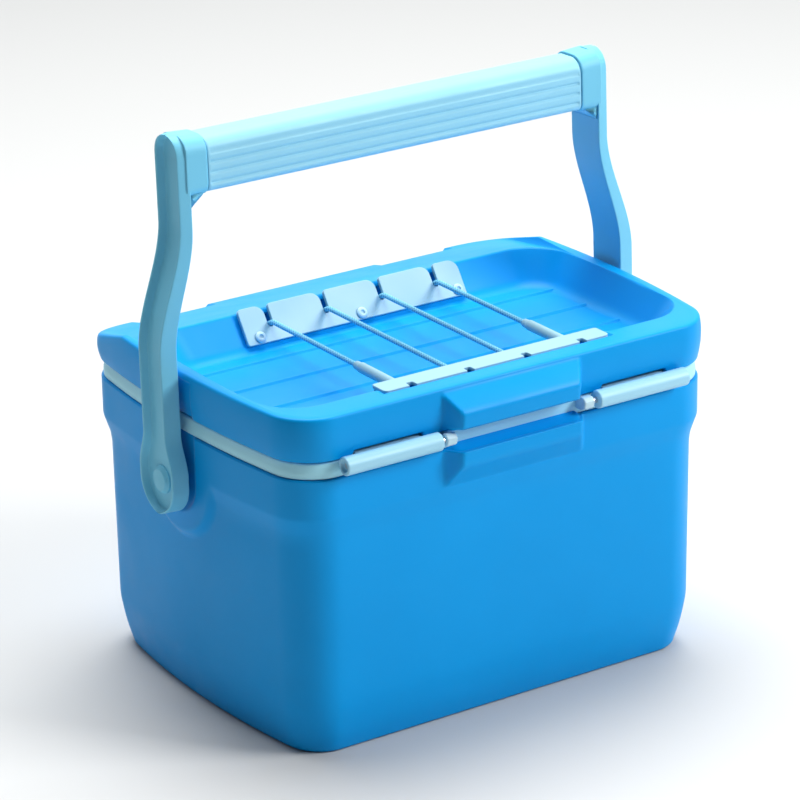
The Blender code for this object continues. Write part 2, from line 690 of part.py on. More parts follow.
def grip_section(wide, high, corner, grooved=False):
    """Rounded section of the grip about the handle's pivot; grooves run along front and back."""
    lift = GRIP_RISE
    half_wide = wide / 2
    half_high = high / 2
    points = []
    for middle_y, middle_z, start in ((1, 1, 0), (-1, 1, 90), (-1, -1, 180), (1, -1, 270)):
        for k in range(4):
            angle = math.radians(start + 30 * k)
            points.append((middle_y * (half_wide - corner) + corner * math.cos(angle),
                           middle_z * (half_high - corner) + corner * math.sin(angle) + lift))
        if grooved and start in (90, 270):
            away = -1 if start == 90 else 1
            for k in range(4):
                z = (half_high - corner - 2.2) * (1 - 2 * k / 3)
                z = z if start == 90 else -z
                edge = 1.2 if start == 90 else -1.2
                points.append((away * half_wide, z + lift + edge))
                points.append((away * (half_wide - 1.1), z + lift))
                points.append((away * half_wide, z + lift - edge))
    return points


def handle_grip():
    outer = grip_section(26.5, 31.0, 7.0, True)
    sleeve = add_object("handle_grip_sleeve", prism(outer, 0, -GRIP_HALF, GRIP_HALF), PALE, 0.55, 0.0, PIVOT)
    hole = prism(grip_section(*SOCKET), 0, -GRIP_HALF - 5.0, GRIP_HALF + 5.0)
    tool = add_object("sleeve_hole_tool", hole, PALE)
    lean_back(tool)
    boolean(sleeve, as_tool(tool), "DIFFERENCE")
    lean_back(sleeve)
    smooth(sleeve)
    end = ARM_HIGH_X + 1.6
    core = add_object("handle_grip_core", prism(grip_section(15.0, 18.0, 4.0), 0, -end, end), GREY,
                      0.5, 0.0, PIVOT)
    lean_back(core)
    smooth(core)


def handle_pivots():
    """Shouldered pins through the arms' eyes, with a spacer washer against each pad."""
    for label, side in (("left", -1), ("right", 1)):
        floor = ARM_LOW_X + ARM_LOW_THICK - CHANNEL + GAP
        profile = [(side * 133.0, 5.6), (side * 141.8, 5.6), (side * 142.0, 4.0), (side * floor, 4.0),
                   (side * floor, 7.2), (side * (floor + 1.6), 7.2), (side * (floor + 3.0), 4.6)]
        pin = add_object("pivot_pin_" + label, turned(profile, 0, PIVOT), PALE, 0.35)
        smooth(pin)
        washer = tube(10.0, PIVOT_BORE, side * (BAND_X + 0.1), side * (ARM_LOW_X - GAP), 0, PIVOT)
        smooth(add_object("pivot_washer_" + label, washer, GREY, 0.5))


# ---------------------------------------------------------------- elastic cord

def cord_route():
    """Points of the cord: front end, back and forth over the tray, behind the plates between runs."""
    rear_back, rear_hole, rear_out = (on_wall(1, CORD_HOLE, out) for out in (-3.6, 0.0, 5.0))
    front_out, front_hole, front_back = (on_wall(-1, CORD_HOLE, out) for out in (5.0, 0.0, -3.6))
    points = []

    def run(x, forwards):
        ends = [rear_back, rear_hole, rear_out, front_out, front_hole, front_back]
        if not forwards:
            ends.reverse()
        for index, (y, z) in enumerate(ends):
            points.append((x, y, z))
            if index == 2:
                following = ends[3]
                steps = 15
                for k in range(1, steps):
                    share = k / steps
                    points.append((x, y + (following[0] - y) * share, z + (following[1] - z) * share))

    def loop(first, last, place):
        steps = 5
        for k in range(1, steps):
            points.append((first + (last - first) * k / steps, place[0], place[1]))

    run(SLOTS[0], False)
    loop(SLOTS[0], SLOTS[1], rear_back)
    run(SLOTS[1], True)
    loop(SLOTS[1], SLOTS[2], front_back)
    run(SLOTS[2], False)
    loop(SLOTS[2], SLOTS[3], rear_back)
    run(SLOTS[3], True)
    return points


def bungee_cord():
    curve = bpy.data.curves.new("bungee_cord", "CURVE")
    curve.dimensions = "3D"
    curve.bevel_depth = CORD_R * MM
    curve.bevel_resolution = 2
    curve.use_fill_caps = True
    points = cord_route()
    spline = curve.splines.new("POLY")
    spline.points.add(len(points) - 1)
    for target, point in zip(spline.points, points):
        target.co = (*(value * MM for value in point), 1.0)
    cord = bpy.data.objects.new("bungee_cord", curve)
    curve.materials.append(principled("bungee_cord", PALE, 0.7, 0.0))
    bpy.context.scene.collection.objects.link(cord)


def cord_ends():
    """Moulded sleeves over the cord's two ends, next to the front plate."""
    start_y, start_z = on_wall(-1, CORD_HOLE, 5.0)
    end_y, end_z = on_wall(1, CORD_HOLE, 5.0)
    direction = Vector((0.0, end_y - start_y, end_z - start_z)).normalized()
    up = Vector((0.0, -direction.z, direction.y))
    sides = 16
    for label, x in (("left", SLOTS[0]), ("right", SLOTS[3])):
        rings = []
        for along, radius in ((1.5, 3.1), (36.0, 3.1), (40.0, 2.5), (40.0, 1.85), (1.5, 1.85)):
            middle = Vector((x, start_y, start_z)) + direction * along
            points = []
            for k in range(sides):
                angle = 2 * math.pi * k / sides
                points.append(tuple(middle + Vector((1.0, 0.0, 0.0)) * radius * math.cos(angle)
                                    + up * radius * math.sin(angle)))
            rings.append(points)
        smooth(add_object("cord_end_" + label, closed_rings(rings), PALE, 0.45))


def build():
    clear_scene()
    body_shell()
    body_insulation()
    inner_liner()
    lid_shell()
    lid_liner()
    lid_gasket()
    lid_insulation()
    latches()
    hinges()
    barrel_pins()
    handle_arm("left", -1)
    handle_arm("right", 1)
    handle_grip()
    handle_pivots()
    rear_cord_plate()
    front_cord_plate()
    plate_screws()
    bungee_cord()
    cord_ends()


build()
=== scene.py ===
"""Finished look of the lunch cooler: moulded plastic shells, folding handle and laced tray lid."""

import math

import bpy
import numpy as np
from mathutils import Matrix, Vector


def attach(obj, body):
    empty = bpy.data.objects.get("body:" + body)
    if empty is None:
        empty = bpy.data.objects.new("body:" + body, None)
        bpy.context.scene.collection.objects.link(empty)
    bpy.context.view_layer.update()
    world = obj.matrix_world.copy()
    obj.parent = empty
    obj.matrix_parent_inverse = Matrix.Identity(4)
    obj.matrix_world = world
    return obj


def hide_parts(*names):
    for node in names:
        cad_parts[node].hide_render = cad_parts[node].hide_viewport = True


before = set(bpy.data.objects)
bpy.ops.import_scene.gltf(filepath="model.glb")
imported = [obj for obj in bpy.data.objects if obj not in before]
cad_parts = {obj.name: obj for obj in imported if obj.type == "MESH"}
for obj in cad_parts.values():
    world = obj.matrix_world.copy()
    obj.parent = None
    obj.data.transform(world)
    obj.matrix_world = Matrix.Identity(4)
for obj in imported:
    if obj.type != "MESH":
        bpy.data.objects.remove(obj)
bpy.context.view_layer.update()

MM = 0.001

# Driving dimensions, in millimetres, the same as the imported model's.
GAP = 0.3                    # clearance between neighbouring pieces
CROWN = 9.7                  # bow of a side face over half its depth
CORNER = 25.0
BAND_X = 149.0               # proud band under the lid
BAND_Y = 114.6
SHELL_TOP = 167.7
COLLAR_TOP = 177.4
LID_LOW = 178.2
LID_TOP = 204.0
LID_X = 150.6
LID_Y = 115.4
LID_SKIN = 2.6
SLOPE_START = 62.0           # where the lid's top starts to fall to the back
SLOPE = 0.285
TRAY_FLOOR = 184.0
LIP_LOW = 179.6              # underside of the lid's finger lip
LIP_HALF = 46.6              # its half width and how far left of the middle it lies
LIP_LEFT = 1.8
LEDGE_RISE = 3.3             # rise of the chest's finger ledge towards the collar
CLAW_NOTCH = 181.7           # top of the notches in the skirt for the latches' claws
RIBS = (-73.5, -41.0, -8.5, 24.0)
RIB_HIGH = 1.2
TUB_X = 124.0
TUB_Y = 90.0
PIVOT = Vector((0.0, 2.0, 139.0))
LEAN = Matrix.Translation(PIVOT) @ Matrix.Rotation(math.radians(-1.6), 4, "X")
EYE_R = 19.5
ARM_LOW = (152.0, 10.0)      # inner face and thickness of the arm beside the chest
ARM_HIGH = (137.8, 7.2)      # the same beside the grip
BEND = (215.0, 284.0)        # heights between which the arm steps inwards
ARM_TOP = 197.0              # height of the arm above the pivot
CHANNEL = 4.4
GRIP_RISE = 179.0
GRIP_HALF = 126.0
BARREL_R = 5.3
BARREL_Y = 119.2
BARREL_Z = 176.0
BARREL_IN = 53.0
BARREL_OUT = 115.5
LUG_IN = 43.0                # ends of the collar's lugs, which hold the pins
LUG_OUT = 49.8
PLATE_HALF = 76.0
PLATE_THICK = 2.4
PLATE_LONG = 22.5
SLOTS = (-57.5, -19.2, 19.2, 57.5)
SCREWS = (-67.0, 2.5, 70.5)
SCREW_UP = 4.6               # height of the screws up the plates
SLOT_FOOT = 9.5
CORD_HOLE = 11.6             # how far up both plates the cord comes out
CORD_R = 1.5
FLANGE_LEVEL = 204.6         # top, thickness and edges of the front plate's flange
FLANGE_THICK = 2.2
FLANGE_FRONT = -101.0
FLANGE_BACK = -87.2
NOTCH_Y = -98.6

WORLD_DIM = 0.06             # strength of the surroundings in front and at the back
WORLD_BRIGHT = 1.2
LAMPS = (                    # softboxes: place and size in metres, power in watts
    ("key", (1.5, -1.6, 1.5), 1.0, 50.0),
    ("top", (0.2, 0.5, 2.2), 1.5, 56.0),
)


# ---------------------------------------------------------------- materials

def nodes_of(name):
    material = bpy.data.materials.new(name)
    material.use_nodes = True
    tree = material.node_tree
    return material, tree.nodes, tree.links, tree.nodes["Principled BSDF"]


def noise(nodes, links, scale, detail, stretch=None):
    """Noise in the piece's own coordinates, in metres; stretch squeezes it along an axis."""
    coordinates = nodes.new("ShaderNodeTexCoord")
    texture = nodes.new("ShaderNodeTexNoise")
    texture.inputs["Scale"].default_value = scale
    texture.inputs["Detail"].default_value = detail
    if stretch is None:
        links.new(coordinates.outputs["Object"], texture.inputs["Vector"])
    else:
        mapping = nodes.new("ShaderNodeMapping")
        mapping.inputs["Scale"].default_value = stretch
        links.new(coordinates.outputs["Object"], mapping.inputs["Vector"])
        links.new(mapping.outputs["Vector"], texture.inputs["Vector"])
    return texture


def spread(nodes, links, source, low, high):
    """Map a texture's middle range to low..high."""
    ramp = nodes.new("ShaderNodeMapRange")
    ramp.inputs["From Min"].default_value = 0.3
    ramp.inputs["From Max"].default_value = 0.7
    ramp.inputs["To Min"].default_value = low
    ramp.inputs["To Max"].default_value = high
    links.new(source, ramp.inputs["Value"])
    return ramp.outputs["Result"]


def moulded(name, colour, shade, roughness, grain=0.10, metallic=0.0, stretch=None, sheen=0.5):
    """Moulded plastic: slow colour drift, uneven gloss and a fine spark-eroded grain."""
    material, nodes, links, shader = nodes_of(name)
    drift = noise(nodes, links, 9.0, 3.0)
    mix = nodes.new("ShaderNodeMix")
    mix.data_type = "RGBA"
    mix.inputs[6].default_value = (*colour, 1.0)
    mix.inputs[7].default_value = (*shade, 1.0)
    links.new(spread(nodes, links, drift.outputs["Fac"], 0.0, 1.0), mix.inputs["Factor"])
    links.new(mix.outputs[2], shader.inputs["Base Color"])
    smear = noise(nodes, links, 38.0, 5.0, stretch)
    links.new(spread(nodes, links, smear.outputs["Fac"], roughness - 0.05, roughness + 0.07),
              shader.inputs["Roughness"])
    fine = noise(nodes, links, 1400.0, 2.0, stretch)
    bump = nodes.new("ShaderNodeBump")
    bump.inputs["Strength"].default_value = grain
    bump.inputs["Distance"].default_value = 0.0002
    links.new(fine.outputs["Fac"], bump.inputs["Height"])
    links.new(bump.outputs["Normal"], shader.inputs["Normal"])
    shader.inputs["Metallic"].default_value = metallic
    shader.inputs["IOR"].default_value = 1.46
    shader.inputs["Specular IOR Level"].default_value = sheen
    return material


def woven(name, colour, shade):
    """Braided sheath of the elastic cord: two crossing sets of strands."""
    material, nodes, links, shader = nodes_of(name)
    coordinates = nodes.new("ShaderNodeTexCoord")
    strands = []
    for turn in (35.0, -35.0):
        mapping = nodes.new("ShaderNodeMapping")
        mapping.inputs["Rotation"].default_value = (0.0, 0.0, math.radians(turn))
        wave = nodes.new("ShaderNodeTexWave")
        wave.inputs["Scale"].default_value = 240.0
        wave.inputs["Distortion"].default_value = 0.6
        links.new(coordinates.outputs["Object"], mapping.inputs["Vector"])
        links.new(mapping.outputs["Vector"], wave.inputs["Vector"])
        strands.append(wave.outputs["Fac"])
    cross = nodes.new("ShaderNodeMath")
    cross.operation = "MAXIMUM"
    links.new(strands[0], cross.inputs[0])
    links.new(strands[1], cross.inputs[1])
    mix = nodes.new("ShaderNodeMix")
    mix.data_type = "RGBA"
    mix.inputs[6].default_value = (*shade, 1.0)
    mix.inputs[7].default_value = (*colour, 1.0)
    links.new(cross.outputs["Value"], mix.inputs["Factor"])
    links.new(mix.outputs[2], shader.inputs["Base Color"])
    bump = nodes.new("ShaderNodeBump")
    bump.inputs["Strength"].default_value = 0.5
    bump.inputs["Distance"].default_value = 0.0003
    links.new(cross.outputs["Value"], bump.inputs["Height"])
    links.new(bump.outputs["Normal"], shader.inputs["Normal"])
    fuzz = noise(nodes, links, 600.0, 3.0)
    links.new(spread(nodes, links, fuzz.outputs["Fac"], 0.6, 0.85), shader.inputs["Roughness"])
    return material


BLUE = moulded("blue_moulded", (0.0, 0.345, 0.83), (0.0, 0.32, 0.78), 0.40, sheen=0.16)
PALE = moulded("pale_moulded", (0.20, 0.62, 0.84), (0.18, 0.59, 0.81), 0.42, sheen=0.3)
LIGHT = moulded("light_moulded", (0.32, 0.56, 0.66), (0.30, 0.54, 0.64), 0.42)
BARREL = moulded("barrel_moulded", (0.36, 0.68, 0.86), (0.34, 0.66, 0.84), 0.42)
GRIP = moulded("grip_moulded", (0.31, 0.69, 0.88), (0.28, 0.66, 0.86), 0.48, 0.16)
COLLAR = moulded("collar_moulded", (0.42, 0.84, 0.98), (0.40, 0.81, 0.96), 0.45)
WHITE = moulded("white_moulded", (0.50, 0.72, 0.82), (0.47, 0.69, 0.80), 0.45)
FOAM = moulded("foam_cells", (0.85, 0.82, 0.70), (0.74, 0.70, 0.56), 0.9, 0.8)
RUBBER = moulded("seal_rubber", (0.30, 0.32, 0.37), (0.25, 0.27, 0.32), 0.7, 0.3)
STEEL = moulded("brushed_pin", (0.62, 0.63, 0.66), (0.52, 0.53, 0.56), 0.32, 0.2, 1.0, (0.05, 1.0, 1.0))
CORD = woven("braided_cord", (0.22, 0.62, 0.84), (0.04, 0.30, 0.52))


# ---------------------------------------------------------------- mesh tools

def soften(rows, reach, steps=4):
    """Round every corner along a stack of rings; reach is one distance or one for each ring."""
    rows = np.asarray(rows, float)
    reaches = np.broadcast_to(np.asarray(reach, float), (len(rows),))
    result = [rows[0]]
    for index in range(1, len(rows) - 1):
        here = rows[index]
        ends = []
        for other in (rows[index - 1], rows[index + 1]):
            step = other - here
            size = np.maximum(np.linalg.norm(step, axis=-1, keepdims=True), 1e-9)
            ends.append(here + step * np.minimum(reaches[index] / size, 0.48))
        for share in np.linspace(0.0, 1.0, steps + 1):
            result.append((1 - share) ** 2 * ends[0] + 2 * share * (1 - share) * here + share ** 2 * ends[1])
    result.append(rows[-1])
    return np.array(result)


def divide(rows, longest):
    """Add rings so that neighbours are never further apart than longest."""
    result = [rows[0]]
    for first, second in zip(rows, rows[1:]):
        gap = np.linalg.norm(second - first, axis=-1).max()
        count = max(1, math.ceil(gap / longest))
        for k in range(1, count + 1):
            result.append(first + (second - first) * k / count)
    return np.array(result)


def smaller(first, second, blend):
    """Minimum of two fields, with a rounded meeting line."""
    overlap = np.maximum(blend - np.abs(first - second), 0.0) / blend
    return np.minimum(first, second) - overlap ** 2 * blend / 4


def larger(first, second, blend):
    return -smaller(-first, -second, blend)


def within(value, limit, edge):
    """1 inside +-limit, 0 outside, with a smooth flank of width edge."""
    share = np.clip((limit - np.abs(value)) / edge + 0.5, 0.0, 1.0)
    return share * share * (3 - 2 * share)


def skin(rows, cap_first=True):
    """Vertices and faces over a stack of closed rings, with a face over each end."""
    levels, columns = rows.shape[:2]
    faces = []
    for level in range(levels - 1):
        low = level * columns
        high = low + columns
        for k in range(columns):
            following = (k + 1) % columns
            faces.append((low + k, low + following, high + following, high + k))
    if cap_first:
        faces.append(tuple(reversed(range(columns))))
    faces.append(tuple(range((levels - 1) * columns, levels * columns)))
    return rows.reshape(-1, 3), faces


def sheet(rows):
    """Vertices and faces over a stack of open rows."""
    levels, columns = rows.shape[:2]
    faces = []
    for level in range(levels - 1):
        for k in range(columns - 1):
            corner = level * columns + k
            faces.append((corner, corner + 1, corner + columns + 1, corner + columns))
    return rows.reshape(-1, 3), faces


def piece(name, parts, material, body, replaced, move=None):
    """One object from several (vertices, faces) lists in millimetres, riding on its body."""
    points = []
    faces = []
    for vertices, polygons in parts:
        start = len(points)
        points.extend(Vector(vertex) for vertex in vertices)
        faces.extend(tuple(start + index for index in polygon) for polygon in polygons)
    if move is not None:
        points = [move @ point for point in points]
    mesh = bpy.data.meshes.new(name)
    mesh.from_pydata([tuple(point * MM) for point in points], [], faces)
    mesh.validate()
    mesh.materials.append(material)
    thing = bpy.data.objects.new(name, mesh)
    bpy.context.scene.collection.objects.link(thing)
    mesh.shade_smooth()
    thing.modifiers.new("Normals", "WEIGHTED_NORMAL")
    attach(thing, body)
    if replaced:
        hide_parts(*replaced)
    return thing


def turned(profile, axis, centre=(0.0, 0.0, 0.0), sides=48):
    """Rings of a solid of revolution; profile lists (along, radius)."""
    angles = np.arange(sides) * 2 * math.pi / sides
    rings = []
    for along, radius in profile:
        ring = np.zeros((sides, 3)) + np.asarray(centre)
        ring[:, axis] += along
        ring[:, (axis + 1) % 3] += radius * np.cos(angles)
        ring[:, (axis + 2) % 3] += radius * np.sin(angles)
        rings.append(ring)
    return np.array(rings)


def outline(half_x, half_y, corner, crown=CROWN, side=60, arc=18, front=90):
    """Plan outline, anticlockwise: bowed sides, straight front and back, round corners."""
    quarter = [(half_x, (half_y - corner) * k / side) for k in range(side)]
    for k in range(arc + 1):
        angle = math.pi / 2 * k / arc
        quarter.append((half_x - corner + corner * math.cos(angle),
                        half_y - corner + corner * math.sin(angle)))
    quarter += [((half_x - corner) * k / front, half_y) for k in range(front - 1, -1, -1)]
    quarter = np.array(quarter)
    quarter[:, 0] -= crown * (quarter[:, 1] / half_y) ** 2 * (quarter[:, 0] / half_x)
    half = np.vstack([quarter, (quarter * (-1, 1))[-2::-1]])
    return np.vstack([half, (half * (1, -1))[-2:0:-1]])


def ring(half_x, half_y, corner, z, crown=CROWN):
    plan = outline(half_x, half_y, corner, crown)
    return np.column_stack([plan, np.full(len(plan), float(z))])


# ---------------------------------------------------------------- chest

def arm_recess(y, z):
    """Share of the shallow U-shaped recess behind each arm."""
    radius = np.hypot(y - PIVOT.y, np.minimum(0.0, z - PIVOT.z))
    return within(radius, 19.0, 2.4)


def chest_shell():
    levels = (
        (3.0, 110.0, 80.0, 12.0, 1.0),
        (0.0, 134.0, 98.0, 17.0, 0.5),
        (0.0, 139.0, 103.4, 19.5, 1.6),
        (14.0, 142.6, 107.4, 22.0, 8.0),
        (30.0, 144.8, 110.0, 23.0, 4.0),
        (128.0, 145.6, 111.5, CORNER, 3.0),
        (134.0, 146.3, 112.1, CORNER, 2.0),
        (144.5, BAND_X, BAND_Y, CORNER, 1.6),
        (SHELL_TOP, BAND_X, BAND_Y, CORNER, 1.0),
        (SHELL_TOP, BAND_X - 3.0, BAND_Y - 3.0, CORNER - 3.0, 0.4),
        (SHELL_TOP - 8.0, BAND_X - 3.2, BAND_Y - 3.2, CORNER - 3.0, 1.0),
    )
    rows = soften([ring(x, y, corner, z) for z, x, y, corner, _ in levels], [level[-1] for level in levels])
    fine = rows[:, :, 2].mean(axis=1) > 97.0
    start = int(np.argmax(fine)) - 1
    rows = np.concatenate([divide(rows[:start + 1], 9.0), divide(rows[start:], 1.5)[1:]])
    x, y, z = rows[..., 0], rows[..., 1], rows[..., 2]
    outer = np.ones(len(rows), bool)
    outer[-8:] = False
    outer = outer[:, None]

    # Finger lip under the lid's own: flat ledge, short nose, face that slopes back.
    depth = smaller(np.full_like(z, 9.4), (z - 145.5) * 9.4 / 14.0, 1.6)
    depth = smaller(depth, (47.0 - np.abs(x)) * 9.4 / 6.5, 1.6)
    depth = larger(depth, np.zeros_like(z), 0.8) * (y < -100.0) * outer
    y -= np.where(depth > 0.21, depth, 0.0)
    z += LEDGE_RISE * within(x, 44.0, 5.0) * (y < -100.0) * ~outer

    # Pivot pads: tongues that hang from the band; the arms sit in a recess of band and pads.
    wall = np.abs(x)
    radius = np.hypot(y - PIVOT.y, np.minimum(0.0, z - PIVOT.z))
    pad = BAND_X - CROWN * (y / BAND_Y) ** 2
    share = np.clip((36.5 - radius) / 5.0, 0.0, 1.0)
    share = share * share * (3 - 2 * share)
    side = (wall > 120.0) & (z > 97.0) & (np.abs(y - PIVOT.y) < 60.0) & outer
    raised = np.where(side & (z < 146.0), np.maximum(wall, wall + (pad - wall) * share), wall)
    raised -= np.where(side, 2.0 * arm_recess(y, z) * (z > 97.0), 0.0)
    x[...] = np.sign(x) * raised
    return piece("chest_shell", [skin(rows)], BLUE, "chest", ["body_shell"])


def rim_collar():
    """Pale collar of the inner tub, with the white seats of the four barrels."""
    low = SHELL_TOP + GAP
    levels = (
        (TUB_X - 5.4, TUB_Y - 5.4, 22.6, 19.4, 0.0, 1.0),
        (TUB_X + 2.6, TUB_Y + 2.6, 22.6, low, 0.0, 1.0),
        (BAND_X - 1.4, BAND_Y - 1.4, CORNER - 1.4, low, CROWN, 0.9),
        (BAND_X - 1.2, BAND_Y - 1.2, CORNER - 1.4, 171.5, CROWN, 1.5),
        (BAND_X - 2.2, BAND_Y - 2.0, CORNER - 2.0, COLLAR_TOP, CROWN, 1.4),
        (TUB_X, TUB_Y, 20.0, COLLAR_TOP, 0.0, 2.0),
        (TUB_X - 8.0, TUB_Y - 8.0, 20.0, 22.0, 0.0, 4.0),
        (60.0, 40.0, 10.0, 22.0, 0.0, 1.0),
    )
    rows = soften([ring(x, y, corner, z, crown) for x, y, corner, z, crown, _ in levels],
                  [level[-1] for level in levels])
    piece("rim_collar", [skin(rows)], COLLAR, "chest", ["inner_liner"])
    for label, front in (("front", -1), ("rear", 1)):
        for hand, side in (("left", -1), ("right", 1)):
            shape = [(112.0, 171.2), (119.0, 171.4), (122.0, 173.2), (122.6, 177.0), (120.6, 179.2),
                     (117.4, 179.2), (116.2, 177.2), (112.0, 177.2)]
            lug = rounded_bar([(front * y, z) for y, z in shape], 0, side * LUG_IN, side * LUG_OUT, 0.8)
            piece(f"barrel_seat_{label}_{hand}", [lug], WHITE, "chest", None)


def rounded_bar(points, axis, first, last, edge):
    """Bar along an axis with a softened section and softened ends; points are the two other axes."""
    corners = np.asarray(points, float)
    closed = np.vstack([corners[-1:], corners, corners[:1]])[:, None, :]
    section = soften(closed, edge)[1:-1, 0, :]
    middle = section.mean(axis=0)
    sense = 1.0 if last > first else -1.0
    rings = []
    shares = [(0.0, 1.0), (0.3, 0.3), (1.0, 0.0)]
    ends = [(first + sense * edge * along, edge * inset) for along, inset in shares]
    ends += [(last - sense * edge * along, edge * inset) for along, inset in reversed(shares)]
    for at, inset in ends:
        away = section - middle
        size = np.maximum(np.linalg.norm(away, axis=1, keepdims=True), 1e-9)
        shrunk = section - away / size * inset
        level = np.zeros((len(section), 3))
        level[:, axis] = at
        level[:, (axis + 1) % 3] = shrunk[:, 0]
        level[:, (axis + 2) % 3] = shrunk[:, 1]
        rings.append(level)
    if sense < 0:
        rings.reverse()
    return skin(np.array(rings))


# ---------------------------------------------------------------- lid

def lid_height(y):
    return LID_TOP - SLOPE * np.maximum(0.0, y - SLOPE_START)


def lid_ring(inset, corner, share, drop=0.0):
    """Ring of the lid's skin; share 0 is the skirt's edge and 1 the top surface."""
    plan = outline(LID_X - inset, LID_Y - inset, corner)
    height = LID_LOW + (lid_height(plan[:, 1]) - LID_LOW) * share - drop
    return np.column_stack([plan, height])


def tray_ring(half_x, front, back, corner, z):
    plan = outline(half_x, (back - front) / 2, corner, 3.0)
    plan[:, 1] += (back + front) / 2
    return np.column_stack([plan, np.full(len(plan), float(z))])


def lid_cover():
    levels = (
        (lid_ring(LID_SKIN + 1.5, CORNER - 3.0, 0.3), 0.5),
        (lid_ring(LID_SKIN + 1.5, CORNER - 3.0, 0.0, -0.2), 0.4),
        (lid_ring(1.7, CORNER - 1.0, 0.0), 1.0),
        (lid_ring(0.2, CORNER, 0.33), 5.0),
        (lid_ring(0.0, CORNER, 0.72), 4.0),
        (lid_ring(1.0, CORNER - 1.0, 0.985), 1.8),
        (lid_ring(4.2, CORNER - 3.0, 1.0), 1.5),
        (tray_ring(141.8, -94.2, 54.2, 26.0, LID_TOP - 0.2), 1.5),
        (tray_ring(131.0, -82.5, 41.0, 19.0, TRAY_FLOOR + 1.6), 4.0),
        (tray_ring(126.0, -78.0, 36.0, 15.0, TRAY_FLOOR - 0.1), 2.0),
        (tray_ring(120.0, -70.0, 30.0, 12.0, TRAY_FLOOR - 0.2), 1.0),
    )
    rows = divide(soften([level for level, _ in levels], [reach for _, reach in levels], 5), 1.3)
    x, y, z = rows[..., 0], rows[..., 1], rows[..., 2]
    outside = np.abs(y) > LID_Y - 6.0

    # Finger lip: level underside, nose and a face that slopes up to the rim.
    proud = smaller(np.full_like(z, 10.6), (203.2 - z) * 12.3 / 12.4 - 1.6, 1.8)
    proud = smaller(proud, (LIP_HALF - np.abs(x + LIP_LEFT)) * 12.3 / 8.0, 1.6)
    proud = smaller(proud, (z - LIP_LOW) * 8.0, 1.2)
    proud = larger(proud, np.zeros_like(z), 0.8) * (y < -(LID_Y - 6.0)) * (z > 179.0)
    y -= np.where(proud > 0.21, proud, 0.0)

    # Coves over the barrels, notches for the latches' claws and a slight step over the hinge leaves.
    along = within(np.abs(x) - (BARREL_IN + BARREL_OUT) / 2, (BARREL_OUT - BARREL_IN) / 2 + 4.2, 1.6)
    chord = np.sqrt(np.maximum((BARREL_R + 0.6) ** 2 - (z - BARREL_Z) ** 2, 0.0))
    cove = np.where((z < BARREL_Z + BARREL_R + 0.6) & outside, BARREL_Y - chord, 999.0)
    pushed = np.minimum(np.abs(y), np.maximum(cove, 112.6))
    lip = (np.abs(x) < 49.5) & (y < 0)
    y[...] = np.where(lip, y, np.sign(y) * (np.abs(y) * (1 - along) + pushed * along))
    notch = within(np.abs(x) - 83.0, 22.4, 0.8) * (y < -107.0)
    z[...] = np.where(z < CLAW_NOTCH, z + (CLAW_NOTCH - z) * notch, z)
    leaf = within(np.abs(x) - 84.5, 25.5, 1.2) * np.clip((y - 104.0) / 2.0, 0.0, 1.0) * (z > 184.0)
    z -= 1.5 * leaf

    # Shallow recess behind each arm, below the rim.
    side = (np.abs(x) > 143.5) & (np.abs(y - PIVOT.y) < 40.0)
    x -= np.sign(x) * 2.0 * arm_recess(y, z) * side * np.clip((LID_TOP - 3.0 - z) / 2.0, 0.0, 1.0)

    # Bed of the front plate's flange, deeper where the cord turns down.
    bed = within(x, PLATE_HALF + 0.7, 0.9) * within(y + 95.5, 6.2, 1.2) * (z > 195.0)
    z -= 2.1 * bed
    for slot in SLOTS:
        z -= 7.0 * within(x - slot, 2.8, 1.0) * within(y - NOTCH_Y, 2.4, 1.0) * (z > 195.0)
        for sense, wall in ((1.0, 47.6), (-1.0, -88.6)):
            pocket = within(x - slot, 3.0, 1.2) * within(z - 195.5, 4.6, 1.4) * within(y - wall, 6.0, 1.0)
            y += sense * 6.0 * pocket
    return piece("lid_cover", [skin(rows, cap_first=False), tray_floor()], BLUE, "lid",
                 ["lid_shell"])


def tray_floor():
    """Floor of the tray with its thin raised ribs, which run out into the side walls."""
    half_x = 127.4
    front = -79.6
    back = 37.6
    corner = 16.0
    rows = []
    for y in np.linspace(front, back, 300):
        reach = half_x
        for edge, sense in ((front + corner, -1), (back - corner, 1)):
            if (y - edge) * sense > 0:
                reach = half_x - corner + math.sqrt(max(corner ** 2 - (y - edge) ** 2, 0.0))
        x = np.linspace(-reach, reach, 121)
        z = np.full_like(x, TRAY_FLOOR)
        for rib in RIBS:
            z += RIB_HIGH * math.exp(-(((y - rib) / 1.35) ** 4))
        rows.append(np.column_stack([x, np.full_like(x, y), z]))
    return sheet(np.array(rows)[::-1])


# A cord plate's own frame on a sloped end wall of the tray: up the slope and out of the wall.

def wall_frame(front):
    foot = Vector((41.0, TRAY_FLOOR + 2.2)) if front > 0 else Vector((-82.5, TRAY_FLOOR + 2.2))
    rise = LID_TOP - 3.0 - (TRAY_FLOOR + 1.8)
    uphill = Vector((10.5 if front > 0 else -9.5, rise)).normalized()
    normal = Vector((-uphill.y, uphill.x)) if front > 0 else Vector((uphill.y, -uphill.x))
    return foot, uphill, normal


def on_wall(front, up, out):
    foot, uphill, normal = wall_frame(front)
    point = foot + uphill * up + normal * out
    return point.x, point.y


def on_plate(front):
    """Function that puts a plate's own (x, up, out) in space."""
    def place(x, up, out):
        y, z = on_wall(front, up, out)
        return x, y, z

    return place


def corner_arc(centre, radius, start, end, steps=6):
    """Points of an arc in a plate's own plane, angles in degrees."""
    points = []
    for k in range(steps + 1):
        angle = math.radians(start + (end - start) * k / steps)
        points.append((centre[0] + radius * math.cos(angle), centre[1] + radius * math.sin(angle)))
    return points


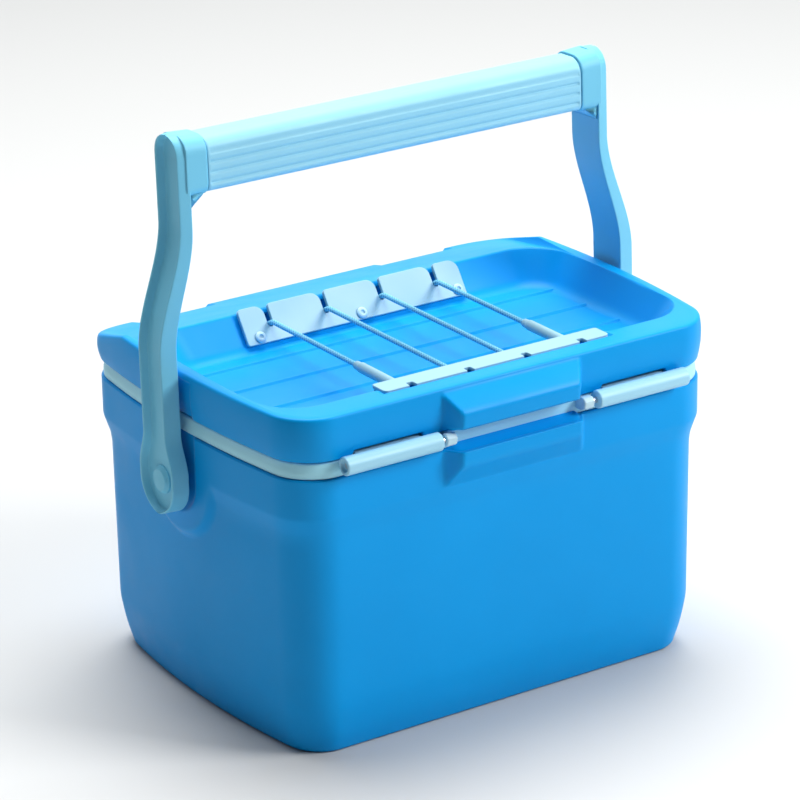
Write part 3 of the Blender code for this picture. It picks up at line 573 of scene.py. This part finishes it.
def bevelled(name, vertices, faces, material, replaced, width):
    thing = piece(name, [(vertices, faces)], material, "lid", replaced)
    thing.modifiers.clear()
    bevel = thing.modifiers.new("Edges", "BEVEL")
    bevel.width = width * MM
    bevel.segments = 3
    bevel.limit_method = "ANGLE"
    bevel.angle_limit = math.radians(38)
    thing.modifiers.new("Normals", "WEIGHTED_NORMAL")
    return thing


def extruded(shape, place, low, high):
    """Vertices and faces of a flat outline between two depths; place puts (u, v, depth) in space."""
    count = len(shape)
    vertices = [place(u, v, depth) for depth in (low, high) for u, v in shape]
    faces = [tuple(reversed(range(count))), tuple(range(count, 2 * count))]
    for k in range(count):
        following = (k + 1) % count
        faces.append((k, following, count + following, count + k))
    return vertices, faces


def rear_plate():
    """Plate with a flared slot for each run; the right shoulder of every tongue is rounder."""
    bottom = 0.8
    top = bottom + PLATE_LONG
    shape = corner_arc((-PLATE_HALF + 1.5, bottom + 1.5), 1.5, 180, 270)
    shape += corner_arc((PLATE_HALF - 1.5, bottom + 1.5), 1.5, 270, 360)
    shape += corner_arc((PLATE_HALF - 6.5, top - 6.5), 6.5, 0, 90)
    half = 1.8
    for x in reversed(SLOTS):
        shape += corner_arc((x + half + 2.0, top - 2.0), 2.0, 90, 180)
        shape += corner_arc((x, SLOT_FOOT + half), half, 0, -180, 8)
        shape += corner_arc((x - half - 6.0, top - 6.0), 6.0, 0, 90)
    shape += corner_arc((-PLATE_HALF + 2.5, top - 2.5), 2.5, 90, 180)
    vertices, faces = extruded(shape, on_plate(1), GAP, GAP + PLATE_THICK)
    bevelled("rear_plate", vertices, faces, LIGHT, ["rear_cord_plate"], 0.5)


def front_plate():
    """Flange in the rim, notched at its front edge for the cord, and a leg down the tray's wall."""
    back = FLANGE_BACK
    shape = corner_arc((PLATE_HALF - 2.0, back - 2.0), 2.0, 90, 0)
    shape += corner_arc((PLATE_HALF - 3.0, FLANGE_FRONT + 3.0), 3.0, 0, -90)
    for x in reversed(SLOTS):
        shape += [(x + 2.2, FLANGE_FRONT), (x + 2.2, NOTCH_Y + 1.4), (x + 1.4, NOTCH_Y + 2.2),
                  (x - 1.4, NOTCH_Y + 2.2), (x - 2.2, NOTCH_Y + 1.4), (x - 2.2, FLANGE_FRONT)]
    shape += corner_arc((-PLATE_HALF + 3.0, FLANGE_FRONT + 3.0), 3.0, -90, -180)
    shape += corner_arc((-PLATE_HALF + 2.0, back - 2.0), 2.0, 180, 90)
    shape.reverse()
    vertices, faces = extruded(shape, lambda x, y, z: (x, y, z), FLANGE_LEVEL - FLANGE_THICK, FLANGE_LEVEL)
    bevelled("front_plate_flange", vertices, faces, LIGHT, ["front_cord_plate"], 0.45)
    half = PLATE_HALF - 0.4
    low = 0.8
    top = 17.2
    leg = [(-half, low), (half, low), (half, top)]
    for x in reversed(SLOTS):
        leg += [(x + 2.2, top), (x + 2.2, CORD_HOLE - 2.2), (x - 2.2, CORD_HOLE - 2.2), (x - 2.2, top)]
    leg.append((-half, top))
    vertices, faces = extruded([(-x, up) for x, up in leg], on_plate(-1), GAP, GAP + PLATE_THICK)
    bevelled("front_plate_leg", vertices, faces, LIGHT, None, 0.4)


def plate_screws():
    """Pan-head screws with a hollow for the driver."""
    head = GAP + PLATE_THICK + GAP
    profile = ((-1.0, 1.2), (head, 1.2), (head, 3.4), (head + 0.5, 3.4), (head + 1.1, 2.7),
               (head + 1.4, 1.5), (head + 0.5, 1.1), (head + 0.4, 0.2))
    sides = 40
    for label, front in (("rear", 1), ("front", -1)):
        _, uphill, _ = wall_frame(front)
        across = Vector((1.0, 0.0, 0.0))
        up = Vector((0.0, uphill.x, uphill.y))
        for number, x in enumerate(SCREWS, 1):
            rings = []
            for out, radius in profile:
                y, z = on_wall(front, SCREW_UP, out)
                middle = Vector((x, y, z))
                angles = [2 * math.pi * k / sides for k in range(sides)]
                rings.append([tuple(middle + across * radius * math.cos(a) + up * radius * math.sin(a))
                              for a in angles])
            rows = soften(np.array(rings), 0.25, 3)
            piece(f"{label}_screw_{number}", [skin(rows)], WHITE if front > 0 else STEEL, "lid",
                  [f"{label}_plate_screw_{number}"])


# ---------------------------------------------------------------- elastic cord

def cord_route():
    """Points of the cord: back and forth over the tray, behind the plates between runs."""
    ends = [on_wall(1, CORD_HOLE, out) for out in (-3.6, 0.0, 5.0)]
    ends += [on_wall(-1, CORD_HOLE, out) for out in (5.0, 0.0, -3.6)]
    points = []
    for number, x in enumerate(SLOTS):
        run = ends if number % 2 else ends[::-1]
        points.extend((x, y, z) for y, z in run)
    return points


def elastic_cord():
    points = np.array(cord_route())[:, None, :]
    path = divide(soften(points, 2.6, 6), 4.0)[:, 0, :]
    curve = bpy.data.curves.new("laced_cord", "CURVE")
    curve.dimensions = "3D"
    curve.bevel_depth = CORD_R * MM
    curve.bevel_resolution = 5
    curve.use_fill_caps = True
    spline = curve.splines.new("POLY")
    spline.points.add(len(path) - 1)
    for target, point in zip(spline.points, path):
        target.co = (*(float(value) * MM for value in point), 1.0)
    curve.materials.append(CORD)
    cord = bpy.data.objects.new("laced_cord", curve)
    bpy.context.scene.collection.objects.link(cord)
    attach(cord, "lid")
    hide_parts("bungee_cord")


def cord_sleeves():
    """Moulded sleeves over the outer runs, next to the front plate."""
    start = Vector((0.0, *on_wall(-1, CORD_HOLE, 5.0)))
    rear = Vector((0.0, *on_wall(1, CORD_HOLE, 5.0)))
    direction = (rear - start).normalized()
    up = Vector((0.0, -direction.z, direction.y))
    profile = ((1.5, 1.7), (1.5, 3.1), (35.0, 3.1), (36.4, 2.6), (40.0, 2.5), (40.0, 1.6))
    sides = 32
    for label, x in (("left", SLOTS[0]), ("right", SLOTS[-1])):
        rings = []
        for along, radius in profile:
            middle = Vector((x, 0.0, 0.0)) + start + direction * along
            rings.append([tuple(middle + Vector((radius * math.cos(2 * math.pi * k / sides), 0.0, 0.0))
                                + up * radius * math.sin(2 * math.pi * k / sides)) for k in range(sides)])
        piece("cord_sleeve_" + label, [skin(soften(np.array(rings), 0.5, 3))], LIGHT, "lid",
              ["cord_end_" + label])


# ---------------------------------------------------------------- barrels

def barrels():
    profile = ((BARREL_IN, 2.2), (BARREL_IN, BARREL_R), (BARREL_OUT, BARREL_R), (BARREL_OUT, 3.4),
               (BARREL_OUT - 2.2, 3.1), (BARREL_OUT - 2.2, 2.2))
    for kind, front, body in (("latch", -1, None), ("hinge", 1, "lid")):
        for hand, side in (("left", -1), ("right", 1)):
            centre = (0.0, front * BARREL_Y, BARREL_Z)
            rows = turned([(side * at, radius) for at, radius in profile], 0, centre)
            parts = [skin(soften(rows, 0.9, 4))]
            if kind == "latch":
                claw = [(front * BARREL_Y + 4.2, BARREL_Z + 2.0), (front * BARREL_Y + 9.4, BARREL_Z + 2.0),
                        (front * BARREL_Y + 9.4, BARREL_Z + 3.3), (front * BARREL_Y + 3.6, BARREL_Z + 3.3)]
                parts.append(rounded_bar(claw, 0, side * 62.0, side * 104.0, 0.4))
            else:
                y, z = BARREL_Y, BARREL_Z
                leaf = [(y - 0.5, z + 3.2), (y - 0.5, z + 9.2), (y - 2.4, z + 9.4), (y - 9.6, z + 9.4),
                        (y - 9.6, z + 6.8), (y - 5.2, z + 6.8), (y - 4.4, z + 3.2)]
                parts.append(rounded_bar(leaf, 0, side * 60.0, side * 109.6, 0.7))
            name = f"{kind}_barrel_{hand}"
            piece(name, parts, BARREL, body or f"latch_{hand}", [f"{kind}_{hand}"])


# ---------------------------------------------------------------- handle

def arm_shape(height):
    """Inner face, thickness and half width of the arm at a height above the pivot."""
    share = min(1.0, max(0.0, (height + PIVOT.z - BEND[0]) / (BEND[1] - BEND[0])))
    eased = share * share * (3 - 2 * share)
    inner = ARM_LOW[0] + (ARM_HIGH[0] - ARM_LOW[0]) * eased
    thick = ARM_LOW[1] + (ARM_HIGH[1] - ARM_LOW[1]) * share
    straight = 13.6
    eye = math.sqrt(max(EYE_R ** 2 - height ** 2, 0.0))
    if height > 0:
        flare = 1.0 - min(1.0, max(0.0, (height - 6.0) / 22.0))
        flare = flare * flare * (3 - 2 * flare)
        width = straight + (EYE_R - straight) * flare
    else:
        width = eye
    dome = (height - (ARM_TOP - 13.0)) / 13.0
    if dome > 0:
        width = straight * (1.0 - min(dome, 1.0) ** 2.4) ** (1 / 2.4)
    return inner, thick, width


def handle_arm(label, side):
    heights = [-EYE_R * math.cos(math.radians(a)) for a in range(3, 90, 4)]
    heights += list(np.arange(0.5, ARM_TOP - 14.0, 2.0))
    heights += [ARM_TOP - 13.0 + 13.0 * math.sin(math.radians(a)) for a in range(0, 88, 5)]
    rings = []
    for height in heights:
        inner, thick, width = arm_shape(height)
        outer = inner + thick
        rim = min(3.3, width * 0.5)
        mouth = max(width - rim, 0.05)
        floor = max(mouth - 1.6, 0.03)
        depth = CHANNEL * min(1.0, mouth / 6.0) ** 0.5
        edge = min(1.5, width * 0.2)
        section = [(inner, -width), (inner, width), (outer - 0.4, width - edge), (outer, width - edge - 0.4),
                   (outer, mouth), (outer - depth, floor), (outer - depth, -floor), (outer, -mouth),
                   (outer, -(width - edge - 0.4)), (outer - 0.4, -(width - edge))]
        corners = np.array(section)
        closed = np.vstack([corners[-1:], corners, corners[:1]])[:, None, :]
        smooth = soften(closed, 0.9, 3)[1:-1, 0, :]
        rings.append([(side * x, y, height) for x, y in smooth])
    rows = np.array(rings)
    if side < 0:
        rows = rows[:, ::-1]
    parts = [skin(rows)]

    # Boss that takes the end of the grip, with a small gusset below it.
    spans = ((GRIP_HALF + 0.3, 26.2, 32.4), (GRIP_HALF + 0.6, 27.0, 33.2), (GRIP_HALF + 1.0, 27.3, 33.5),
             (GRIP_HALF + 2.0, 27.4, 33.6), (ARM_HIGH[0] + 1.6, 27.4, 35.2), (ARM_HIGH[0] + 2.3, 27.4, 35.2),
             (ARM_HIGH[0] + 2.4, 26.0, 34.0))
    boss = []
    for at, wide, high in spans:
        section = grip_outline(wide, min(high, 2 * (ARM_TOP - GRIP_RISE) - 0.2), 9.5, 7.0, 0.0)
        boss.append([(side * at, y, z) for y, z in section])
    rows = np.array(boss)
    if side < 0:
        rows = rows[:, ::-1]
    parts.append(skin(rows))
    foot = GRIP_RISE - 17.0
    gusset = [(-12.4, foot + 2.0), (12.4, foot + 2.0), (12.0, foot - 6.5), (-12.0, foot - 6.5)]
    sections = []
    for at, drop in ((GRIP_HALF + 3.5, 0.1), (ARM_HIGH[0] - 3.0, 0.6), (ARM_HIGH[0] + 1.0, 1.0)):
        sections.append([(side * at, y, foot + 2.0 + (z - foot - 2.0) * drop) for y, z in gusset])
    rows = np.array(sections)
    if side > 0:
        rows = rows[:, ::-1]
    parts.append(skin(rows))
    piece("arm_" + label, parts, PALE, "handle", ["handle_arm_" + label], LEAN)

    floor = ARM_LOW[0] + ARM_LOW[1] - CHANNEL
    profile = ((floor - 8.0, 4.0), (floor - 0.2, 4.0), (floor - 0.2, 8.4), (floor + 0.9, 8.4),
               (floor + 1.5, 7.4), (floor + 2.7, 6.2), (floor + 3.1, 0.2))
    rows = soften(turned([(side * at, radius) for at, radius in profile], 0, tuple(PIVOT)), 0.5, 3)
    piece("pivot_head_" + label, [skin(rows)], PALE, "chest", ["pivot_pin_" + label])


def grip_outline(wide, high, top_corner, low_corner, groove):
    """Closed section of the grip about the pivot; groove is the depth of the lines along both faces."""
    half_wide = wide / 2
    half_high = high / 2
    levels = np.linspace(low_corner - half_high, half_high - top_corner, 42)[1:-1]
    points = []
    for sense_y, sense_z, start, corner in ((1, 1, 0, top_corner), (-1, 1, 90, top_corner),
                                            (-1, -1, 180, low_corner), (1, -1, 270, low_corner)):
        centre = (sense_y * (half_wide - corner), sense_z * (half_high - corner))
        points += corner_arc(centre, corner, start, start + 90, 10)
        if start == 90:
            points += [(-half_wide, z) for z in levels[::-1]]
        if start == 270:
            points += [(half_wide, z) for z in levels]
    result = []
    for y, z in points:
        cut = 0.0
        for line in (-10.2, -4.4, 1.4, 7.2):
            cut += groove * math.exp(-((z - line) / 0.85) ** 2)
        inward = cut if abs(y) > half_wide * 0.7 else 0.0
        result.append((y - math.copysign(inward, y), z + GRIP_RISE))
    return result


def grip():
    """Sleeve with four lines moulded along its front and back, plain at both ends."""
    smooth_end = 1.5
    spans = [(-GRIP_HALF, -0.8, 0.0), (-GRIP_HALF + 0.5, 0.0, 0.0), (-GRIP_HALF + smooth_end, 0.0, 0.0),
             (-GRIP_HALF + smooth_end + 0.8, 0.0, 1.2)]
    ridged = GRIP_HALF - smooth_end - 8.0
    middle = [(x, 0.0, 1.2) for x in np.linspace(-ridged, ridged, 24)]
    spans = spans + middle + [(-x, grow, groove) for x, grow, groove in reversed(spans)]
    rows = []
    for x, grow, groove in spans:
        section = grip_outline(26.5 + grow, 31.0 + grow, 9.0, 4.5, groove)
        rows.append([(x, y, z) for y, z in section])
    piece("grip", [skin(np.array(rows))], GRIP, "handle", ["handle_grip_sleeve"], LEAN)


# ---------------------------------------------------------------- set, light and camera

def studio():
    world = bpy.data.worlds.new("studio")
    bpy.context.scene.world = world
    world.use_nodes = True
    nodes = world.node_tree.nodes
    links = world.node_tree.links
    nodes["Background"].inputs["Color"].default_value = (0.93, 0.97, 1.0, 1.0)
    where = nodes.new("ShaderNodeTexCoord")
    facing = nodes.new("ShaderNodeVectorMath")
    facing.operation = "DOT_PRODUCT"
    facing.inputs[1].default_value = (0.52, 0.80, 0.30)
    links.new(where.outputs["Generated"], facing.inputs[0])
    grade = nodes.new("ShaderNodeMapRange")
    grade.inputs["From Min"].default_value = 0.1
    grade.inputs["From Max"].default_value = 0.9
    grade.inputs["To Min"].default_value = WORLD_DIM
    grade.inputs["To Max"].default_value = WORLD_BRIGHT
    links.new(facing.outputs["Value"], grade.inputs["Value"])
    links.new(grade.outputs["Result"], nodes["Background"].inputs["Strength"])
    material, _, _, shader = nodes_of("studio_floor")
    shader.inputs["Base Color"].default_value = (0.64, 0.64, 0.63, 1.0)
    shader.inputs["Roughness"].default_value = 0.85
    mesh = bpy.data.meshes.new("studio_floor")
    half = 30.0
    corners = [(-half, -half, 0.0), (half, -half, 0.0), (half, half, 0.0), (-half, half, 0.0)]
    mesh.from_pydata(corners, [], [(0, 1, 2, 3)])
    mesh.materials.append(material)
    floor = bpy.data.objects.new("studio_floor", mesh)
    floor.location.z = -0.0005
    bpy.context.scene.collection.objects.link(floor)
    for name, place, size, power in LAMPS:
        light = bpy.data.lights.new(name, "AREA")
        light.size = size
        light.energy = power
        lamp = bpy.data.objects.new(name, light)
        lamp.location = place
        aim = Vector((0.0, 0.0, 0.15)) - Vector(place)
        lamp.rotation_euler = aim.to_track_quat("-Z", "Y").to_euler()
        bpy.context.scene.collection.objects.link(lamp)


def camera():
    """Front-left three-quarter view from a little above, with a long lens."""
    azimuth = math.radians(-33.58)
    elevation = math.radians(21.2)
    roll = math.radians(-1.0)
    distance = 2.26933
    target = Vector((0.0, -0.001, 0.15093))
    back = Vector((math.sin(azimuth) * math.cos(elevation), -math.cos(azimuth) * math.cos(elevation),
                   math.sin(elevation)))
    level = (-back).cross(Vector((0.0, 0.0, 1.0))).normalized()
    upright = level.cross(-back)
    right = level * math.cos(roll) + upright * math.sin(roll)
    up = upright * math.cos(roll) - level * math.sin(roll)
    lens = bpy.data.cameras.new("camera")
    lens.sensor_width = 36.0
    lens.lens = 176.98
    view = bpy.data.objects.new("camera", lens)
    bpy.context.scene.collection.objects.link(view)
    rotation = Matrix((right, up, back)).transposed().to_4x4()
    view.matrix_world = Matrix.Translation(target + back * distance) @ rotation
    bpy.context.scene.camera = view


def dress_cad():
    """Materials for the CAD pieces that stay: pins, washers, seal, foam and inner plates."""
    looks = {"lid_liner": WHITE, "lid_gasket": RUBBER, "lid_insulation": FOAM, "body_insulation": FOAM,
             "handle_grip_core": COLLAR, "pivot_washer_left": COLLAR, "pivot_washer_right": COLLAR}
    for kind in ("latch", "hinge"):
        for hand in ("left", "right"):
            looks[f"{kind}_pin_{hand}"] = STEEL
    for name, look in looks.items():
        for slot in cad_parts[name].material_slots:
            slot.material = look


bpy.context.scene.view_settings.view_transform = "Standard"
camera()
studio()
dress_cad()
chest_shell()
rim_collar()
lid_cover()
rear_plate()
front_plate()
plate_screws()
elastic_cord()
cord_sleeves()
barrels()
handle_arm("left", -1)
handle_arm("right", 1)
grip()
